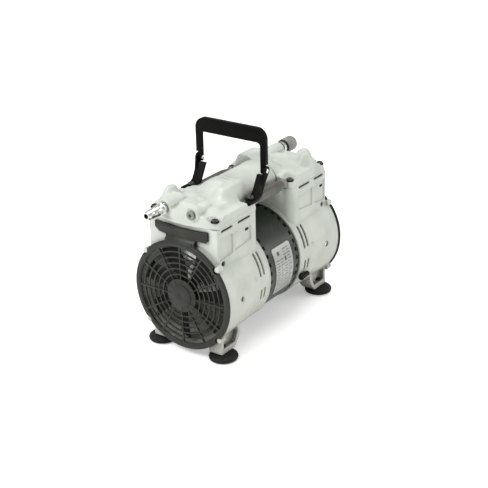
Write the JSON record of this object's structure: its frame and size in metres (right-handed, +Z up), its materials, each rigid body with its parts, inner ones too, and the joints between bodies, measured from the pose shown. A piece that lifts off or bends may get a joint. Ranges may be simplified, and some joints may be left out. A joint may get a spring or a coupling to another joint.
{
  "type": "twin-head oil-free vacuum pump",
  "caption": "Portable oil-free piston vacuum pump: through-shaft motor between cylinder heads, guarded fans at the ends, folding carry handle, hose barb inlet.",
  "frame": {"origin": "floor level, midway between the four feet, under the middle of the motor", "axes": "+Z up, +Y along the motor shaft towards the exhaust head, +X to the nameplate side"},
  "size_m": [0.176, 0.386, 0.3314],
  "materials": {
    "cast_white": "off-white satin paint on a casting",
    "guard_plastic": "dark olive-grey moulded plastic",
    "motor_paint": "dark grey-green satin paint",
    "black_metal": "black satin powder coat",
    "rubber": "black moulded rubber",
    "brown_metal": "dark brown-grey coated tube",
    "nickel": "nickel plate",
    "steel": "turned steel",
    "dark_steel": "dark oxide steel",
    "spring_steel": "thin spring steel",
    "aluminium": "machined aluminium",
    "sintered": "grey sintered element with a knurled body",
    "label": "silver-grey foil plate",
    "lamination": "stacked steel laminations",
    "copper": "varnished copper wire",
    "cast_iron": "as cast",
    "fan_plastic": "black moulded plastic",
    "ptfe": "filled PTFE"
  },
  "bodies": {
    "root": {"front_crankcase": "cast_white", "front_cylinder_pedestal": "cast_white", "front_cylinder_head": "cast_white", "front_cylinder": "aluminium", "front_valve_plate": "aluminium", "front_fan_guard": "guard_plastic", "front_main_bearing": "steel", "left_front_foot": "rubber", "left_front_inner_head_bolt": "dark_steel", "left_front_outer_head_bolt": "dark_steel", "right_front_foot": "rubber", "right_front_inner_head_bolt": "dark_steel", "right_front_outer_head_bolt": "dark_steel", "rear_crankcase": "cast_white", "rear_cylinder_pedestal": "cast_white", "rear_cylinder_head": "cast_white", "rear_cylinder": "aluminium", "rear_valve_plate": "aluminium", "rear_fan_guard": "guard_plastic", "rear_main_bearing": "steel", "left_rear_foot": "rubber", "left_rear_inner_head_bolt": "dark_steel", "left_rear_outer_head_bolt": "dark_steel", "right_rear_foot": "rubber", "right_rear_inner_head_bolt": "dark_steel", "right_rear_outer_head_bolt": "dark_steel", "left_transfer_tube": "brown_metal", "left_handle_arm": "black_metal", "left_pivot_rivet": "nickel", "right_transfer_tube": "brown_metal", "right_handle_arm": "black_metal", "right_pivot_rivet": "nickel", "crossover_duct": "cast_white", "inlet_hose_barb": "nickel", "exhaust_muffler": "sintered", "port_plug": "steel", "motor_shell": "motor_paint", "nameplate": "label", "cord_strain_relief": "rubber", "stator_core": "lamination", "stator_winding": "copper"},
    "shaft": {"motor_shaft": "steel", "rotor": "lamination", "front_fan": "fan_plastic", "rear_fan": "fan_plastic", "front_eccentric": "cast_iron", "rear_eccentric": "cast_iron"},
    "bail": {"handle_bail": "black_metal"},
    "front_rod": {"front_connecting_rod": "aluminium", "front_piston_cup": "ptfe", "front_cup_clamp": "steel", "front_rod_bearing": "steel"},
    "front_intake_valve": {"front_intake_reed": "spring_steel"},
    "front_exhaust_valve": {"front_exhaust_reed": "spring_steel"},
    "rear_rod": {"rear_connecting_rod": "aluminium", "rear_piston_cup": "ptfe", "rear_cup_clamp": "steel", "rear_rod_bearing": "steel"},
    "rear_intake_valve": {"rear_intake_reed": "spring_steel"},
    "rear_exhaust_valve": {"rear_exhaust_reed": "spring_steel"}
  },
  "joints": [
    {"name": "shaft_spin", "type": "hinge", "parent": "root", "child": "shaft", "pos_m": [0, 0, 0.099], "axis": [0, 1, 0], "continuous": true},
    {"name": "front_rod_pivot", "type": "hinge", "parent": "shaft", "child": "front_rod", "pos_m": [0, -0.1, 0.104], "axis": [0, 1, 0], "continuous": true},
    {"name": "rear_rod_pivot", "type": "hinge", "parent": "shaft", "child": "rear_rod", "pos_m": [0, 0.1, 0.094], "axis": [0, 1, 0], "continuous": true},
    {"name": "bail_fold", "type": "hinge", "parent": "root", "child": "bail", "pos_m": [0, -0.0225, 0.266], "axis": [-1, 0, 0], "range_deg": [0, 95]},
    {"name": "front_intake_flap", "type": "hinge", "parent": "root", "child": "front_intake_valve", "pos_m": [-0.027, -0.1, 0.20845], "axis": [0, 1, 0], "range_deg": [0, 6], "stiffness_Nm_per_rad": 0.02},
    {"name": "front_exhaust_flap", "type": "hinge", "parent": "root", "child": "front_exhaust_valve", "pos_m": [0.027, -0.1, 0.21315], "axis": [0, 1, 0], "range_deg": [0, 6], "stiffness_Nm_per_rad": 0.02},
    {"name": "rear_intake_flap", "type": "hinge", "parent": "root", "child": "rear_intake_valve", "pos_m": [0.027, 0.1, 0.20845], "axis": [0, -1, 0], "range_deg": [0, 6], "stiffness_Nm_per_rad": 0.02},
    {"name": "rear_exhaust_flap", "type": "hinge", "parent": "root", "child": "rear_exhaust_valve", "pos_m": [-0.027, 0.1, 0.21315], "axis": [0, -1, 0], "range_deg": [0, 6], "stiffness_Nm_per_rad": 0.02}
  ],
  "couplings": [
    {"joint": "front_rod_pivot", "follows": "shaft_spin", "ratio": -1},
    {"joint": "rear_rod_pivot", "follows": "shaft_spin", "ratio": -1}
  ]
}
